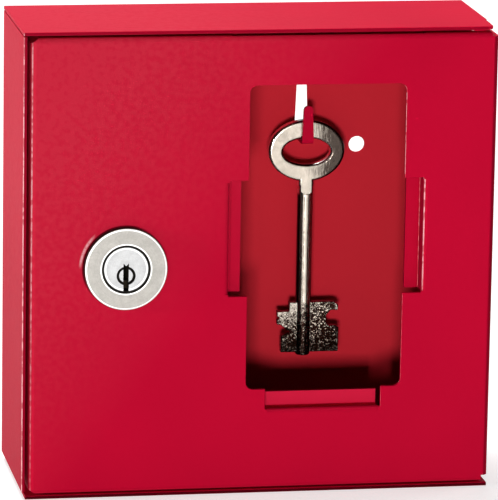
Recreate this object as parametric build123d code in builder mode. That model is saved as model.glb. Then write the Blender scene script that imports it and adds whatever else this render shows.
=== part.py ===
from build123d import *
import os

# Break-glass key box: a folded steel cabinet for a wall, with a glazed, lockable door and one
# emergency key hanging on a hook behind the glass.
#
# Millimetres. X runs to the right, Y towards the wall and Z up. The origin is the centre of the
# back face, which lies on the wall. Depths are distances in front of the wall, so a depth d is at
# Y = -d, and the front of the door faces -Y.

# ---- Cabinet -------------------------------------------------------------------------------
cabinet_width = 130.0
cabinet_height = 129.0
cabinet_depth = 45.0
sheet = 1.0  # steel sheet of the cabinet and the door
bend_inner = 0.5  # inside radius of the folds
edge_round = 0.3  # the coating rounds the sheared front edges
cut_round = 0.15  # the same round the window and along the upper left seam
seam_gap = 0.1  # open seam between two walls at a corner
seam_slit = 0.3  # at the upper left, where the top wall lies over the end of the left wall
foot_relief = 1.2  # extra cut-back of the left wall's foot
upper_ear_setback = 1.4  # from the side face to the end of the top wall's front ear
lower_ear_setback = 0.3  # the same for the bottom wall
ear_radius = 2.2  # rounded front corner of the top wall's ear

# ---- Fixing holes and hook -----------------------------------------------------------------
fixing_spacing = 70.0
fixing_diameter = 4.6
fixing_drop = 40.7  # from the top of the cabinet
hook_offset = 0.9  # from the middle of the window to the hook
hook_drop = 22.2  # from the top of the window to the seat of the hook
hook_reach = 10.6  # from the back plate's inner face to the hook's front face
hook_rise = 10.9  # from the underside of the leg to the tip
hook_width = 3.2
hook_tip_width = 2.6
slot_root_width = 4.1
slot_tip_width = 2.7
slot_clearance = 0.4  # left round the tip where it was sheared out
edge_softness = 0.44  # share of the sheet that the hook's edges are rounded by

# ---- Hinge ---------------------------------------------------------------------------------
pin_diameter = 3.0
pin_setback = 5.0  # from the door's front face and from the cabinet's side face
pin_overhang = 1.5  # how far a pin reaches past the door's flange
pin_chamfer = 0.3
running_clearance = 0.05  # radial, of every turning fit
washer_diameter = 5.0
washer_play = 0.05
swing_gap = 1.5  # from the door's hinge flange to the edge of the right wall

# ---- Door ----------------------------------------------------------------------------------
gap_left = 1.0
gap_top = 0.75
gap_bottom = 0.3
flange_depth = 12.0
corner_cut_width = 2.2
corner_cut_height = 1.4
ear_step = 1.8  # the face steps in by this above and below the hinge flange
ear_height_top = 0.95
ear_height_bottom = 1.8

# ---- Window, clips and glass ---------------------------------------------------------------
window_margin_left = 59.6
window_margin_right = 25.3
window_margin_top = 13.55
window_margin_bottom = 27.9
window_radius = 2.1
clip_length = 31.2
clip_slit = 0.5
clip_offset_side = 5.25  # from the window's edge to the clip's leg
clip_offset_bottom = 5.7
clip_lip = 3.9  # from the leg to the edge of the lip
clip_bend_inner = 0.3
clip_root = 0.5  # how far the clip runs into the flat of the door
pane_thickness = 3.0
pane_play = 0.6  # between the pane and its channel, front to back
pane_side_gap = 0.8
pane_seat_gap = 0.2
pane_cover_top = 5.8  # the pane's cover above the window
pane_arris = 0.3
pane_slot_gap = 0.6

# ---- Lock ----------------------------------------------------------------------------------
lock_inset = 26.0  # from the door's left edge
lock_drop = 0.2  # below the door's middle
plug_diameter = 12.5  # the wafers, barrel, flange, nut and washers grow with the plug
lock_flange_rim = 1.95  # how far the flange reaches past the barrel
lock_flange_height = 2.0
lock_flange_round = 0.6
barrel_wall = 0.9  # between the wafer grooves and the barrel's flats
barrel_flat_cut = 1.4
barrel_length = 14.0
barrel_gap = 0.1  # between the barrel and its hole in the door
plug_sink = 0.3  # the plug's face lies behind the flange's
plug_mouth_gap = 0.4  # wider ring round the plug's face
plug_mouth_depth = 1.6
keyhole_diameter = 4.9
keyhole_depth = 0.3
keyhole_drop = 1.8
keyhole_groove_width = 0.35  # the groove runs round the rim of the keyhole
keyhole_groove_depth = 1.4
keyway_width = 1.5
keyway_top = 1.7
keyway_notch = 0.8  # the keyway ends in two points, with this deep a notch between them
keyway_depth = 12.0
tail_width = 6.0
tail_fit = 0.05
nut_wall = 1.6  # from the thread to the nut's flats
nut_thickness = 4.0
nut_corner = 0.9  # the nut's corners are turned down by this much, front and back
tooth_washer_thickness = 0.8
tooth_washer_rim = 2.1  # from the barrel to the points of the teeth
tooth_count = 12
tooth_notch = 1.0
lug_width = 2.0
lug_inset = 0.2  # from the barrel's surface to the end of the lug
stop_washer_diameter = 15.0
stop_washer_thickness = 1.0
stop_post = 1.5
stop_post_inset = 1.0  # from the barrel's surface to the middle of a post
stop_angle = 57.6  # of each stop post from the lock's horizontal
stop_clearance = 0.1
cam_thickness = 2.0
cam_length = 24.0
cam_width = 9.0
cam_hub_diameter = 14.0
cam_washer_diameter = 9.0
cam_washer_thickness = 0.8
screw_diameter = 3.9
screw_bore_gap = 0.05
screw_length = 6.5  # below the head
screw_head_diameter = 7.0
screw_head_height = 2.2
screw_head_round = 0.8
recess_width = 0.9
recess_span = 3.8
recess_depth = 1.2

# ---- Wafers in the lock --------------------------------------------------------------------
wafer_count = 5
wafer_pitch = 2.3
wafer_thickness = 1.0
wafer_width = 5.2
wafer_inset = 0.65  # from the plug's surface to a wafer's ends
wafer_window_width = 2.4
wafer_window_height = 7.0
wafer_travel = 1.0
wafer_gap = 0.1
wafer_first_depth = 2.6  # from the plug's face to the middle of the first wafer
wafer_lug_reach = 1.3
wafer_lug_height = 0.9
wafer_lug_z = -0.6
spring_diameter = 0.9
spring_length = 1.9
groove_depth = 0.5  # past the raised wafer

# ---- Strike --------------------------------------------------------------------------------
strike_thickness = 1.5
strike_reach = 6.0
strike_height = 18.0
strike_foot = 12.0
strike_gap = 0.8  # in front of the cam
strike_corner = 2.0

# ---- Emergency key -------------------------------------------------------------------------
key_hang_gap = 0.5
key_front_gap = 0.3
bow_width = 21.6
bow_height = 17.4
bow_thickness = 3.2
bow_round = 0.9
bow_hole_width = 13.4
bow_hole_height = 7.5
bow_hole_drop = 0.2
shank_diameter = 4.3
neck_length = 3.7  # flat neck below the bow, with a rounded end
neck_end = 3.4  # height of the neck's rounded end
neck_root = 1.0  # how far the neck runs into the bow
bit_from_bow = 49.0  # from the foot of the bow down to the foot of the bits
tip_length = 0.8
tip_chamfer = 0.4
bit_thickness = 2.2
bit_corner = 0.3
bit_chamfer = 0.2

# ---- Worked-out places ---------------------------------------------------------------------
bend_outer = bend_inner + sheet
side_x = cabinet_width / 2
top_z = cabinet_height / 2
inner_x = side_x - sheet
inner_z = top_z - sheet
corner_relief = sheet + seam_gap

pin_x = side_x - pin_setback
pin_y = pin_setback - cabinet_depth
hinge_flange_depth = 2 * pin_setback
right_wall_depth = cabinet_depth - hinge_flange_depth - swing_gap

door_left = gap_left - inner_x
door_top = inner_z - gap_top
door_bottom = gap_bottom - inner_z
door_width = side_x - door_left
door_height = door_top - door_bottom
door_x = (side_x + door_left) / 2
door_z = (door_top + door_bottom) / 2

window_width = door_width - window_margin_left - window_margin_right
window_height = door_height - window_margin_top - window_margin_bottom
window_x = door_left + window_margin_left + window_width / 2
window_z = door_bottom + window_margin_bottom + window_height / 2
window_top = window_z + window_height / 2
window_bottom = window_z - window_height / 2

clip_bend_middle = clip_bend_inner + sheet / 2
channel = pane_thickness + pane_play
lip_depth = cabinet_depth - sheet - channel - sheet / 2  # of the lip's middle
clip_run = clip_bend_middle + clip_root
leg_x = window_width / 2 + clip_offset_side
seat_z = window_bottom - clip_offset_bottom
pane_width = 2 * (leg_x - pane_side_gap)
pane_bottom = seat_z + pane_seat_gap
pane_top = window_top + pane_cover_top
pane_back = cabinet_depth - sheet - pane_play / 2 - pane_thickness

hook_x = window_x + hook_offset
hook_seat = window_top - hook_drop
hook_middle_z = hook_seat - sheet / 2
hook_middle_depth = sheet + hook_reach - sheet / 2
hook_tip = hook_seat - sheet + hook_rise
hook_bend = bend_inner + sheet / 2
slot_foot = hook_middle_z - hook_bend
slot_length = hook_reach + hook_rise - sheet + slot_clearance

lock_x = door_left + lock_inset
lock_z = door_z - lock_drop
lock_front = cabinet_depth + lock_flange_height
barrel_end = cabinet_depth - barrel_length
plug_front = lock_front - plug_sink
bore_diameter = plug_diameter + 2 * running_clearance
wafer_height = plug_diameter - 2 * wafer_inset
groove_reach = wafer_height / 2 + wafer_travel + groove_depth
groove_width = wafer_width + 2 * wafer_gap
barrel_flats = 2 * (groove_reach + barrel_wall)
barrel_diameter = barrel_flats + 2 * barrel_flat_cut
lock_flange_diameter = barrel_diameter + 2 * lock_flange_rim
nut_flats = barrel_diameter + 2 * nut_wall
tooth_washer_diameter = barrel_diameter + 2 * tooth_washer_rim
stop_post_radius = barrel_diameter / 2 - stop_post_inset
lug_reach = barrel_diameter / 2 - lug_inset
cam_front = barrel_end - stop_washer_thickness
cam_back = cam_front - cam_thickness
screw_seat = cam_back - cam_washer_thickness
tooth_washer_back = cabinet_depth - sheet - tooth_washer_thickness
nut_back = tooth_washer_back - nut_thickness
strike_back = cam_front + strike_gap

key_hole_z = hook_seat + key_hang_gap - bow_hole_height / 2
bow_z = key_hole_z + bow_hole_drop
bow_foot = bow_z - bow_height / 2
key_depth = hook_middle_depth - sheet / 2 - key_front_gap - bow_thickness / 2
neck_foot = bow_foot - neck_length
bit_foot = bow_foot - bit_from_bow
key_tip = bit_foot - tip_length

# Outlines of the two key bits: distance from the shank's axis, height above the bits' foot.
right_bit = [(0, 0), (10.1, 0), (10.1, 6.9), (9.2, 7.5), (7.2, 7.5), (6.5, 8.4), (6.5, 10.4),
             (7.8, 11.9), (9.9, 11.9), (9.9, 13.4), (8.6, 14.4), (0, 14.4)]
left_bit = [(0, 0), (6.35, 0), (6.35, 4.5), (5.4, 5.2), (3.5, 5.6), (6.6, 8.0), (7.5, 8.0),
            (7.5, 9.3), (6.8, 9.9), (7.5, 10.5), (7.5, 11.8), (4.1, 11.8), (4.1, 14.4), (0, 14.4)]


def facing(depth):
    """Plane parallel to the wall at a depth; its x is X, its y is Z and it faces the front."""
    return Plane.XZ.offset(depth)


os.makedirs("parts", exist_ok=True)


def finish_part(builder, name):
    """Label one finished piece and write its STEP file."""
    builder.part.label = name
    export_step(builder.part, f"parts/{name}.step")


def tongue_outline(root_width, tip_width, foot_z, tip_z):
    """Tapered outline with a round upper end, on the hook's centre line."""
    shoulder_z = tip_z - tip_width / 2
    with BuildLine() as outline:
        Line((hook_x - root_width / 2, foot_z), (hook_x - tip_width / 2, shoulder_z))
        ThreePointArc((hook_x - tip_width / 2, shoulder_z), (hook_x, tip_z),
                      (hook_x + tip_width / 2, shoulder_z))
        Line((hook_x + tip_width / 2, shoulder_z), (hook_x + root_width / 2, foot_z))
        Line((hook_x + root_width / 2, foot_z), (hook_x - root_width / 2, foot_z))
    make_face(outline.edges())


def double_d(diameter, flats):
    """Circle with two upright flats, about the lock's axis."""
    with Locations((lock_x, lock_z)):
        Circle(diameter / 2)
        Rectangle(flats, diameter, mode=Mode.INTERSECT)


# ---- Cabinet -------------------------------------------------------------------------------
# The hook is a strip lanced out of the back plate, folded forwards and then up.
with BuildPart() as hook:
    with BuildSketch(Plane.YZ.offset(hook_x - hook_width / 2)):
        with BuildLine():
            FilletPolyline(
                (-sheet / 2, slot_foot - sheet),
                (-sheet / 2, hook_middle_z),
                (-hook_middle_depth, hook_middle_z),
                (-hook_middle_depth, hook_seat + bend_outer),
                radius=hook_bend,
            )
        trace(line_width=sheet)
    extrude(amount=hook_width)
    with BuildSketch(facing(hook_middle_depth - sheet / 2)):
        tongue_outline(hook_width, hook_tip_width, hook_middle_z + hook_bend, hook_tip)
    extrude(amount=sheet)
    leg_edges = hook.edges().filter_by(Axis.Y).filter_by(lambda edge: edge.length > hook_reach / 2)
    fillet(leg_edges.group_by(Axis.Z)[-1], edge_softness * sheet)

with BuildPart() as cabinet_shell:
    with BuildSketch(facing(0)):
        Rectangle(cabinet_width, cabinet_height)
    extrude(amount=cabinet_depth)
    fillet(cabinet_shell.faces().sort_by(Axis.Y)[-1].edges(), bend_outer)
    with BuildSketch(facing(sheet)):
        Rectangle(2 * inner_x, 2 * inner_z)
    extrude(amount=cabinet_depth - sheet, mode=Mode.SUBTRACT)
    fillet(cabinet_shell.faces().filter_by(Axis.Y).sort_by(Axis.Y)[-2].edges(), bend_inner)
    # The walls are folded up with open corners, and the door's hinge flange takes the place of
    # the front of the right wall.
    with BuildSketch(facing(0)):
        for end in (1, -1):
            with Locations((side_x, end * top_z)):
                Rectangle(2 * corner_relief, 2 * corner_relief)
    extrude(amount=right_wall_depth, mode=Mode.SUBTRACT)
    with BuildSketch(facing(0)):
        with Locations((-side_x, inner_z - seam_slit / 2)):
            Rectangle(2 * sheet, seam_slit)
        with Locations((-side_x, -top_z)):
            Rectangle(2 * corner_relief, 2 * (corner_relief + foot_relief))
    extrude(amount=cabinet_depth, mode=Mode.SUBTRACT)
    with BuildSketch(facing(right_wall_depth)):
        for end, reach_x in ((1, upper_ear_setback), (-1, lower_ear_setback)):
            with Locations((side_x, end * top_z)):
                Rectangle(2 * reach_x, 2 * sheet)
        with Locations((side_x, 0)):
            Rectangle(2 * sheet, 2 * inner_z)
    extrude(amount=cabinet_depth - right_wall_depth, mode=Mode.SUBTRACT)
    front_edges = cabinet_shell.edges().filter_by(Axis.Z).group_by(Axis.Y)[0]
    fillet(front_edges.group_by(Axis.Z)[-1].sort_by(Axis.X)[-1], ear_radius)
    seam_edges = cabinet_shell.edges().filter_by(Axis.Y).group_by(Axis.X)[0]
    fillet(seam_edges.sort_by(Axis.Z)[-3:], cut_round)
    rim = cabinet_shell.faces().filter_by(Axis.Y).group_by(Axis.Y)[0].edges()
    fillet(rim.filter_by(lambda edge: edge.length > ear_radius * 2), edge_round)
    with BuildSketch(facing(0)):
        with Locations(
            (-fixing_spacing / 2, top_z - fixing_drop),
            (fixing_spacing / 2, top_z - fixing_drop),
        ):
            Circle(fixing_diameter / 2)
        tongue_outline(slot_root_width, slot_tip_width, slot_foot, slot_foot + slot_length)
    extrude(amount=sheet, mode=Mode.SUBTRACT)
    with BuildSketch(Plane.XY.offset(-top_z)):
        with Locations((pin_x, pin_y)):
            Circle(pin_diameter / 2)
    extrude(amount=cabinet_height, mode=Mode.SUBTRACT)
    add(hook.part)
finish_part(cabinet_shell, "cabinet_shell")

# The strike is an angle welded inside the left wall; the locked cam stands behind it.
with BuildPart() as strike_bracket:
    with BuildSketch(Plane.XY.offset(lock_z - strike_height / 2)):
        with BuildLine():
            FilletPolyline(
                (strike_thickness / 2 - inner_x, strike_foot - strike_back),
                (strike_thickness / 2 - inner_x, -strike_back - strike_thickness / 2),
                (strike_reach - inner_x, -strike_back - strike_thickness / 2),
                radius=strike_thickness,
            )
        trace(line_width=strike_thickness)
    extrude(amount=strike_height)
    fillet(strike_bracket.edges().filter_by(Axis.Y).group_by(Axis.X)[-1], strike_corner)
finish_part(strike_bracket, "strike_bracket")

# ---- Hinge ---------------------------------------------------------------------------------
pin_spans = {
    "upper": (door_top - sheet - pin_overhang, top_z),
    "lower": (-top_z, door_bottom + sheet + pin_overhang),
}
washer_spans = {
    "upper": (door_top + washer_play, inner_z),
    "lower": (-inner_z, door_bottom - washer_play),
}
for place in pin_spans:
    pin_foot, pin_head = pin_spans[place]
    with BuildPart() as hinge_pin:
        with BuildSketch(Plane.XY.offset(pin_foot)):
            with Locations((pin_x, pin_y)):
                Circle(pin_diameter / 2)
        extrude(amount=pin_head - pin_foot)
        ends = hinge_pin.edges().filter_by(GeomType.CIRCLE).sort_by(Axis.Z)
        chamfer(ends[0] if place == "upper" else ends[-1], pin_chamfer)
    finish_part(hinge_pin, f"hinge_pin_{place}")
    washer_foot, washer_head = washer_spans[place]
    with BuildPart() as hinge_washer:
        with BuildSketch(Plane.XY.offset(washer_foot)):
            with Locations((pin_x, pin_y)):
                Circle(washer_diameter / 2)
                Circle(pin_diameter / 2 + running_clearance, mode=Mode.SUBTRACT)
        extrude(amount=washer_head - washer_foot)
    finish_part(hinge_washer, f"hinge_washer_{place}")

# ---- Door ----------------------------------------------------------------------------------
# Each clip is a lip of the door's own sheet, pressed back round the pane.
with BuildPart() as side_clip:
    with BuildSketch(Plane.XY.offset(window_z - clip_length / 2)):
        with BuildLine():
            FilletPolyline(
                (window_x + leg_x + sheet / 2 + clip_run, sheet / 2 - cabinet_depth),
                (window_x + leg_x + sheet / 2, sheet / 2 - cabinet_depth),
                (window_x + leg_x + sheet / 2, -lip_depth),
                (window_x + leg_x - clip_lip, -lip_depth),
                radius=clip_bend_middle,
            )
        trace(line_width=sheet)
    extrude(amount=clip_length)

with BuildPart() as bottom_clip:
    with BuildSketch(Plane.YZ.offset(window_x - clip_length / 2)):
        with BuildLine():
            FilletPolyline(
                (sheet / 2 - cabinet_depth, seat_z - sheet / 2 - clip_run),
                (sheet / 2 - cabinet_depth, seat_z - sheet / 2),
                (-lip_depth, seat_z - sheet / 2),
                (-lip_depth, seat_z + clip_lip),
                radius=clip_bend_middle,
            )
        trace(line_width=sheet)
    extrude(amount=clip_length)

with BuildPart() as door_panel:
    with BuildSketch(facing(cabinet_depth)):
        with Locations((door_x, door_z)):
            Rectangle(door_width, door_height)
    extrude(amount=-flange_depth)
    fillet(door_panel.faces().sort_by(Axis.Y)[0].edges(), bend_outer)
    with BuildSketch(facing(cabinet_depth - sheet)):
        with Locations((door_x, door_z)):
            Rectangle(door_width - 2 * sheet, door_height - 2 * sheet)
    extrude(amount=sheet - flange_depth, mode=Mode.SUBTRACT)
    fillet(door_panel.faces().filter_by(Axis.Y).sort_by(Axis.Y)[1].edges(), bend_inner)
    # The hinge flange is shorter than the others and stands clear of the cabinet's ears.
    with BuildSketch(facing(cabinet_depth - hinge_flange_depth)):
        with Locations((side_x, door_z)):
            Rectangle(2 * sheet, door_height)
    extrude(amount=hinge_flange_depth - flange_depth, mode=Mode.SUBTRACT)
    with BuildSketch(facing(cabinet_depth)):
        with Locations((side_x, door_top)):
            Rectangle(2 * ear_step, 2 * ear_height_top)
        with Locations((side_x, door_bottom)):
            Rectangle(2 * ear_step, 2 * ear_height_bottom)
        for end, corner_z in ((1, door_top), (-1, door_bottom)):
            with BuildLine():
                Polyline(
                    (door_left, corner_z),
                    (door_left + corner_cut_width, corner_z),
                    (door_left, corner_z - end * corner_cut_height),
                    close=True,
                )
            make_face()
    extrude(amount=-flange_depth, mode=Mode.SUBTRACT)
    # Window, with a notch for each clip, and the lock's hole.
    with BuildSketch(facing(cabinet_depth)):
        with Locations((window_x, window_z)):
            RectangleRounded(window_width, window_height, window_radius)
        with Locations((window_x, window_z)):
            Rectangle(2 * leg_x, clip_length + 2 * clip_slit)
            Rectangle(2 * leg_x + 2 * sheet + 2 * clip_bend_inner, clip_length)
        for notch_width, notch_foot in (
            (clip_length + 2 * clip_slit, seat_z),
            (clip_length, seat_z - sheet - clip_bend_inner),
        ):
            with Locations((window_x, (window_bottom + notch_foot) / 2)):
                Rectangle(notch_width, window_bottom - notch_foot)
    extrude(amount=-sheet, mode=Mode.SUBTRACT)
    door_face = door_panel.faces().filter_by(Axis.Y).sort_by(Axis.Y)[0]
    cut_edges = door_face.inner_wires()[0].edges().filter_by(
        lambda edge: edge.length > clip_slit * 2
        and abs(edge.center().X - window_x) < leg_x
        and edge.center().Z > seat_z
    )
    fillet(cut_edges, cut_round)
    with BuildSketch(facing(cabinet_depth)):
        double_d(barrel_diameter + 2 * barrel_gap, barrel_flats + 2 * barrel_gap)
    extrude(amount=-sheet, mode=Mode.SUBTRACT)
    # A new pane slides in through the top flange while the door is open.
    with BuildSketch(Plane.XY.offset(door_top)):
        with Locations((window_x, (channel / 2) + sheet - cabinet_depth)):
            Rectangle(pane_width + 2 * pane_slot_gap, channel)
    extrude(amount=-sheet - bend_inner, mode=Mode.SUBTRACT)
    with BuildSketch(Plane.XY.offset(door_bottom)):
        with Locations((pin_x, pin_y)):
            Circle(pin_diameter / 2 + running_clearance)
    extrude(amount=door_height, mode=Mode.SUBTRACT)
    add(side_clip.part)
    mirror(side_clip.part, about=Plane.YZ.offset(window_x))
    add(bottom_clip.part)
finish_part(door_panel, "door_panel")

with BuildPart() as glass_pane:
    with BuildSketch(facing(pane_back)):
        with Locations((window_x, (pane_top + pane_bottom) / 2)):
            Rectangle(pane_width, pane_top - pane_bottom)
    extrude(amount=pane_thickness)
    chamfer(glass_pane.edges(), pane_arris)
finish_part(glass_pane, "glass_pane")

# ---- Lock ----------------------------------------------------------------------------------
with BuildPart() as lock_housing:
    with BuildSketch(facing(barrel_end)):
        double_d(barrel_diameter, barrel_flats)
    extrude(amount=barrel_length)
    with BuildSketch(facing(cabinet_depth)):
        with Locations((lock_x, lock_z)):
            Circle(lock_flange_diameter / 2)
    extrude(amount=lock_flange_height)
    front_rim = lock_housing.faces().sort_by(Axis.Y)[0].edges()
    fillet(front_rim, lock_flange_round)
    with BuildSketch(facing(barrel_end)):
        with Locations((lock_x, lock_z)):
            Circle(bore_diameter / 2)
    extrude(amount=lock_front - barrel_end, mode=Mode.SUBTRACT)
    with BuildSketch(facing(lock_front)):
        with Locations((lock_x, lock_z)):
            Circle(plug_diameter / 2 + plug_mouth_gap)
    extrude(amount=-plug_mouth_depth, mode=Mode.SUBTRACT)
    # Two crossed grooves take the wafers at every quarter turn.
    with BuildSketch(facing(barrel_end)):
        with Locations((lock_x, lock_z)):
            Rectangle(groove_width, 2 * groove_reach)
            Rectangle(2 * groove_reach, groove_width)
    extrude(amount=plug_front - plug_mouth_depth - barrel_end, mode=Mode.SUBTRACT)
    # Two posts behind the barrel stop the lug of the stop washer after a quarter turn.
    with BuildSketch(facing(barrel_end)):
        with Locations((lock_x, lock_z)):
            with PolarLocations(stop_post_radius, 2, -stop_angle, 2 * stop_angle, endpoint=True):
                Rectangle(stop_post, stop_post)
    extrude(amount=stop_clearance - stop_washer_thickness)
finish_part(lock_housing, "lock_housing")

with BuildPart() as lock_tooth_washer:
    with BuildSketch(facing(tooth_washer_back)):
        with Locations((lock_x, lock_z)):
            Circle(tooth_washer_diameter / 2)
            Circle(barrel_diameter / 2 + barrel_gap, mode=Mode.SUBTRACT)
            with PolarLocations(tooth_washer_diameter / 2, tooth_count):
                Rectangle(2 * tooth_notch, tooth_notch, mode=Mode.SUBTRACT)
    extrude(amount=tooth_washer_thickness)
finish_part(lock_tooth_washer, "lock_tooth_washer")

with BuildPart() as nut_blank:
    with BuildSketch(facing(nut_back)):
        with Locations((lock_x, lock_z)):
            Circle(nut_flats / 2 + nut_corner)
    extrude(amount=nut_thickness)
    chamfer(nut_blank.edges().filter_by(GeomType.CIRCLE), nut_corner)

with BuildPart() as lock_nut:
    with BuildSketch(facing(nut_back)):
        with Locations((lock_x, lock_z)):
            RegularPolygon(nut_flats / 2, 6, major_radius=False)
            Circle(barrel_diameter / 2 + running_clearance, mode=Mode.SUBTRACT)
    extrude(amount=nut_thickness)
    add(nut_blank.part, mode=Mode.INTERSECT)
finish_part(lock_nut, "lock_nut")

wafer_depths = [plug_front - wafer_first_depth - wafer_pitch * n for n in range(wafer_count)]
wafer_slot_back = [depth - wafer_thickness / 2 - wafer_gap for depth in wafer_depths]
lug_foot = lock_z + wafer_lug_z
spring_x = lock_x + wafer_width / 2 + wafer_lug_reach / 2
with BuildPart() as lock_plug:
    with BuildSketch(facing(barrel_end)):
        with Locations((lock_x, lock_z)):
            Circle(plug_diameter / 2)
    extrude(amount=plug_front - barrel_end)
    with BuildSketch(facing(plug_front)):
        with Locations((lock_x, lock_z - keyhole_drop)):
            Circle(keyhole_diameter / 2)
    extrude(amount=-keyhole_depth, mode=Mode.SUBTRACT)
    with BuildSketch(facing(plug_front)):
        with Locations((lock_x, lock_z - keyhole_drop)):
            Circle(keyhole_diameter / 2)
            Circle(keyhole_diameter / 2 - keyhole_groove_width, mode=Mode.SUBTRACT)
    extrude(amount=-keyhole_groove_depth, mode=Mode.SUBTRACT)
    with BuildSketch(facing(plug_front)):
        with BuildLine():
            Polyline(
                (lock_x - keyway_width / 2, lock_z - plug_diameter),
                (lock_x - keyway_width / 2, lock_z + keyway_top),
                (lock_x, lock_z + keyway_top - keyway_notch),
                (lock_x + keyway_width / 2, lock_z + keyway_top),
                (lock_x + keyway_width / 2, lock_z - plug_diameter),
                close=True,
            )
        make_face()
    extrude(amount=-keyway_depth, mode=Mode.SUBTRACT)
    # One slot for each wafer, with a pocket beside it for its lug and spring.
    for slot_back in wafer_slot_back:
        with BuildSketch(facing(slot_back)):
            with Locations((lock_x, lock_z)):
                Rectangle(wafer_width + 2 * wafer_gap, plug_diameter)
            with Locations((lock_x, lug_foot - spring_length)):
                Rectangle(
                    wafer_width / 2 + wafer_lug_reach + wafer_gap,
                    spring_length + wafer_lug_height + wafer_travel + wafer_gap,
                    align=(Align.MIN, Align.MIN),
                )
        extrude(amount=wafer_thickness + 2 * wafer_gap, mode=Mode.SUBTRACT)
    with BuildSketch(facing(barrel_end)):
        with Locations((lock_x, lock_z)):
            Rectangle(tail_width, tail_width)
    extrude(amount=cam_back - barrel_end)
    with BuildSketch(facing(cam_back)):
        with Locations((lock_x, lock_z)):
            Circle(screw_diameter / 2 + screw_bore_gap)
    extrude(amount=screw_length, mode=Mode.SUBTRACT)
finish_part(lock_plug, "lock_plug")

with BuildPart() as lock_wafers:
    for depth in wafer_depths:
        with BuildSketch(facing(depth - wafer_thickness / 2)):
            with Locations((lock_x, lock_z)):
                Rectangle(wafer_width, wafer_height)
                Rectangle(wafer_window_width, wafer_window_height, mode=Mode.SUBTRACT)
            with Locations((lock_x + wafer_width / 2, lug_foot)):
                Rectangle(wafer_lug_reach, wafer_lug_height, align=(Align.MIN, Align.MIN))
        extrude(amount=wafer_thickness)
finish_part(lock_wafers, "lock_wafers")

with BuildPart() as wafer_springs:
    with BuildSketch(Plane.XY.offset(lug_foot - spring_length)):
        with Locations([(spring_x, -depth) for depth in wafer_depths]):
            Circle(spring_diameter / 2)
            Circle(spring_diameter / 4, mode=Mode.SUBTRACT)
    extrude(amount=spring_length)
finish_part(wafer_springs, "wafer_springs")

with BuildPart() as stop_washer:
    with BuildSketch(facing(cam_front)):
        with Locations((lock_x, lock_z)):
            Circle(stop_washer_diameter / 2)
            with PolarLocations(lug_reach / 2, 1, start_angle=45):
                Rectangle(lug_reach, lug_width)
            Rectangle(tail_width + 2 * tail_fit, tail_width + 2 * tail_fit, mode=Mode.SUBTRACT)
    extrude(amount=stop_washer_thickness)
finish_part(stop_washer, "stop_washer")

# The cam hangs down while the door is unlocked and points left when it is locked.
with BuildPart() as cam_lever:
    with BuildSketch(facing(cam_back)):
        with Locations((lock_x, lock_z)):
            Circle(cam_hub_diameter / 2)
        with Locations((lock_x, lock_z - (cam_length - cam_width / 2) / 2)):
            Rectangle(cam_width, cam_length - cam_width / 2)
        with Locations((lock_x, lock_z - cam_length + cam_width / 2)):
            Circle(cam_width / 2)
        with Locations((lock_x, lock_z)):
            Rectangle(tail_width + 2 * tail_fit, tail_width + 2 * tail_fit, mode=Mode.SUBTRACT)
    extrude(amount=cam_thickness)
finish_part(cam_lever, "cam_lever")

with BuildPart() as cam_washer:
    with BuildSketch(facing(screw_seat)):
        with Locations((lock_x, lock_z)):
            Circle(cam_washer_diameter / 2)
            Circle(screw_diameter / 2 + screw_bore_gap, mode=Mode.SUBTRACT)
    extrude(amount=cam_washer_thickness)
finish_part(cam_washer, "cam_washer")

with BuildPart() as cam_screw:
    with BuildSketch(facing(screw_seat - screw_head_height)):
        with Locations((lock_x, lock_z)):
            Circle(screw_head_diameter / 2)
    extrude(amount=screw_head_height)
    fillet(cam_screw.faces().sort_by(Axis.Y)[-1].edges(), screw_head_round)
    with BuildSketch(facing(screw_seat)):
        with Locations((lock_x, lock_z)):
            Circle(screw_diameter / 2)
    extrude(amount=screw_length)
    with BuildSketch(facing(screw_seat - screw_head_height)):
        with Locations((lock_x, lock_z)):
            Rectangle(recess_span, recess_width)
            Rectangle(recess_width, recess_span)
    extrude(amount=recess_depth, mode=Mode.SUBTRACT)
finish_part(cam_screw, "cam_screw")

# ---- Emergency key -------------------------------------------------------------------------
with BuildPart() as bow_and_neck:
    with BuildSketch(facing(key_depth - bow_thickness / 2)):
        with Locations((hook_x, bow_z)):
            Ellipse(bow_width / 2, bow_height / 2)
        with Locations((hook_x, bow_foot)):
            Rectangle(shank_diameter, 2 * (neck_length - neck_end + neck_root))
        with Locations((hook_x, neck_foot + neck_end)):
            Ellipse(shank_diameter / 2, neck_end)
        with Locations((hook_x, key_hole_z)):
            Ellipse(bow_hole_width / 2, bow_hole_height / 2, mode=Mode.SUBTRACT)
    extrude(amount=bow_thickness)
    fillet(bow_and_neck.faces().filter_by(Axis.Y).edges(), bow_round)

with BuildPart() as key_bits:
    with BuildSketch(facing(key_depth - bit_thickness / 2)) as bit_outline:
        for side, outline in ((1, right_bit), (-1, left_bit)):
            with BuildLine():
                Polyline([(hook_x + side * x, bit_foot + z) for x, z in outline], close=True)
            make_face()
        fillet(bit_outline.vertices(), bit_corner)
    extrude(amount=bit_thickness)
    bit_faces = key_bits.faces().filter_by(Axis.Y)
    chamfer(bit_faces.edges(), bit_chamfer)

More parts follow.
